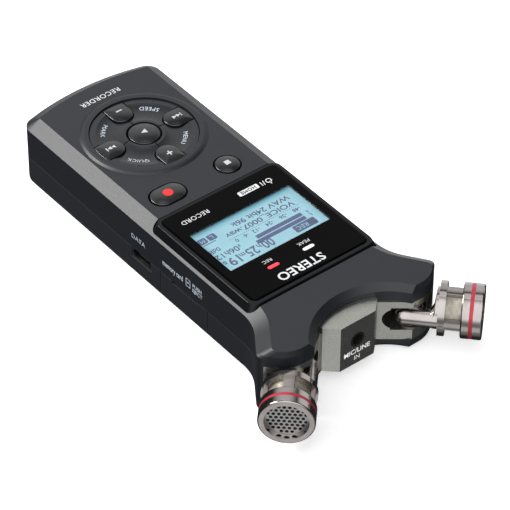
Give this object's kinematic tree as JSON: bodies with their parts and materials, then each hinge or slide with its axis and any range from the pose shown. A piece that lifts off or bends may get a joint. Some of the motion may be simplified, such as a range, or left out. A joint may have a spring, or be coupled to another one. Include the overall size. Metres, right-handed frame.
{
  "type": "handheld voice recorder",
  "caption": "Slim handheld stereo voice recorder with a backlit display, a round key dial and two microphones that swing on a forked head.",
  "frame": {"origin": "on the surface it lies on, under the middle of its bounding box", "axes": "+Z out of the display, +Y towards the microphones, +X to the right side of the front face"},
  "size_m": [0.0882, 0.1576, 0.026],
  "materials": {
    "case_plastic": "fine-grained dark blue-grey",
    "display_gloss": "gloss black",
    "display_glass": "gloss black window with a clear middle",
    "lcd": "pale cyan liquid crystal display",
    "backlight": "white light guide",
    "peak_light": "white",
    "record_light": "red",
    "key_plastic": "satin black",
    "circuit_board": "green solder mask",
    "keypad_rubber": "dark silicone",
    "contact_metal": "nickel plated",
    "connector_shell": "plain steel",
    "jack_plastic": "black",
    "slider_plastic": "black",
    "brass_insert": "plain",
    "battery_wrap": "dark wrap",
    "screw_steel": "plain",
    "bracket_paint": "silver-grey metallic",
    "mic_nickel": "warm satin nickel",
    "red_band": "red",
    "grille_metal": "satin perforated disc",
    "mesh_metal": "fine woven mesh",
    "capsule_metal": "plain"
  },
  "bodies": {
    "recorder": {"battery_cells": "battery_wrap", "battery_contacts": "contact_metal", "bracket_screws": "screw_steel", "card_socket": "connector_shell", "case_screws": "screw_steel", "data_port": "connector_shell", "display_frame": "display_gloss", "display_window": "display_glass", "dome_switches": "contact_metal", "front_case": "case_plastic", "hold_switch": "jack_plastic", "key_board": "circuit_board", "keypad_membrane": "keypad_rubber", "lcd_backlight": "backlight", "lcd_panel": "lcd", "main_board": "circuit_board", "mic_bracket_lower": "bracket_paint", "mic_bracket_upper": "bracket_paint", "mic_input_jack": "jack_plastic", "mic_pivot_pins": "screw_steel", "peak_light": "peak_light", "phones_jack": "jack_plastic", "rear_case": "case_plastic", "record_light": "record_light", "speaker": "jack_plastic", "tripod_insert": "brass_insert"},
    "left_mic": {"left_mic_arm": "mic_nickel", "left_mic_cage": "mic_nickel", "left_mic_cage_screw": "screw_steel", "left_mic_cap": "mic_nickel", "left_mic_capsule": "capsule_metal", "left_mic_grille": "grille_metal", "left_mic_mesh": "mesh_metal", "left_mic_red_band": "red_band"},
    "right_mic": {"right_mic_arm": "mic_nickel", "right_mic_cage": "mic_nickel", "right_mic_cage_screw": "screw_steel", "right_mic_cap": "mic_nickel", "right_mic_capsule": "capsule_metal", "right_mic_grille": "grille_metal", "right_mic_mesh": "mesh_metal", "right_mic_red_band": "red_band"},
    "play_key": {"play_key": "key_plastic"},
    "plus_key": {"plus_key": "key_plastic"},
    "minus_key": {"minus_key": "key_plastic"},
    "rewind_key": {"rewind_key": "key_plastic"},
    "forward_key": {"forward_key": "key_plastic"},
    "menu_key": {"menu_key": "key_plastic"},
    "mark_key": {"mark_key": "key_plastic"},
    "quick_key": {"quick_key": "key_plastic"},
    "playback_key": {"playback_key": "key_plastic"},
    "stop_key": {"stop_key": "key_plastic"},
    "record_key": {"record_key": "key_plastic"},
    "hold_slider": {"hold_slider": "slider_plastic"},
    "battery_door": {"battery_door": "case_plastic"}
  },
  "joints": [
    {"name": "left_mic_swing", "type": "hinge", "parent": "recorder", "child": "left_mic", "pos_m": [-0.0232, 0.05705, 0.0125], "axis": [0, 0, 1], "range_deg": [-86.4, 0]},
    {"name": "right_mic_swing", "type": "hinge", "parent": "recorder", "child": "right_mic", "pos_m": [0.0232, 0.05705, 0.0125], "axis": [0, 0, 1], "range_deg": [0, 86.4]},
    {"name": "play_press", "type": "slide", "parent": "recorder", "child": "play_key", "axis": [0, 0, -1], "range_m": [0, 0.0004], "stiffness_N_per_m": 400},
    {"name": "plus_press", "type": "slide", "parent": "recorder", "child": "plus_key", "axis": [0, 0, -1], "range_m": [0, 0.0004], "stiffness_N_per_m": 400},
    {"name": "minus_press", "type": "slide", "parent": "recorder", "child": "minus_key", "axis": [0, 0, -1], "range_m": [0, 0.0004], "stiffness_N_per_m": 400},
    {"name": "rewind_press", "type": "slide", "parent": "recorder", "child": "rewind_key", "axis": [0, 0, -1], "range_m": [0, 0.0004], "stiffness_N_per_m": 400},
    {"name": "forward_press", "type": "slide", "parent": "recorder", "child": "forward_key", "axis": [0, 0, -1], "range_m": [0, 0.0004], "stiffness_N_per_m": 400},
    {"name": "menu_press", "type": "slide", "parent": "recorder", "child": "menu_key", "axis": [0, 0, -1], "range_m": [0, 0.0004], "stiffness_N_per_m": 400},
    {"name": "mark_press", "type": "slide", "parent": "recorder", "child": "mark_key", "axis": [0, 0, -1], "range_m": [0, 0.0004], "stiffness_N_per_m": 400},
    {"name": "quick_press", "type": "slide", "parent": "recorder", "child": "quick_key", "axis": [0, 0, -1], "range_m": [0, 0.0004], "stiffness_N_per_m": 400},
    {"name": "playback_press", "type": "slide", "parent": "recorder", "child": "playback_key", "axis": [0, 0, -1], "range_m": [0, 0.0004], "stiffness_N_per_m": 400},
    {"name": "stop_press", "type": "slide", "parent": "recorder", "child": "stop_key", "axis": [0, 0, -1], "range_m": [0, 0.0004], "stiffness_N_per_m": 400},
    {"name": "record_press", "type": "slide", "parent": "recorder", "child": "record_key", "axis": [0, 0, -1], "range_m": [0, 0.0004], "stiffness_N_per_m": 400},
    {"name": "hold_slide", "type": "slide", "parent": "recorder", "child": "hold_slider", "axis": [0, 1, 0], "range_m": [-0.0022, 0.0022]},
    {"name": "battery_door_slide", "type": "slide", "parent": "recorder", "child": "battery_door", "axis": [0, -1, 0], "range_m": [0, 0.006]}
  ]
}
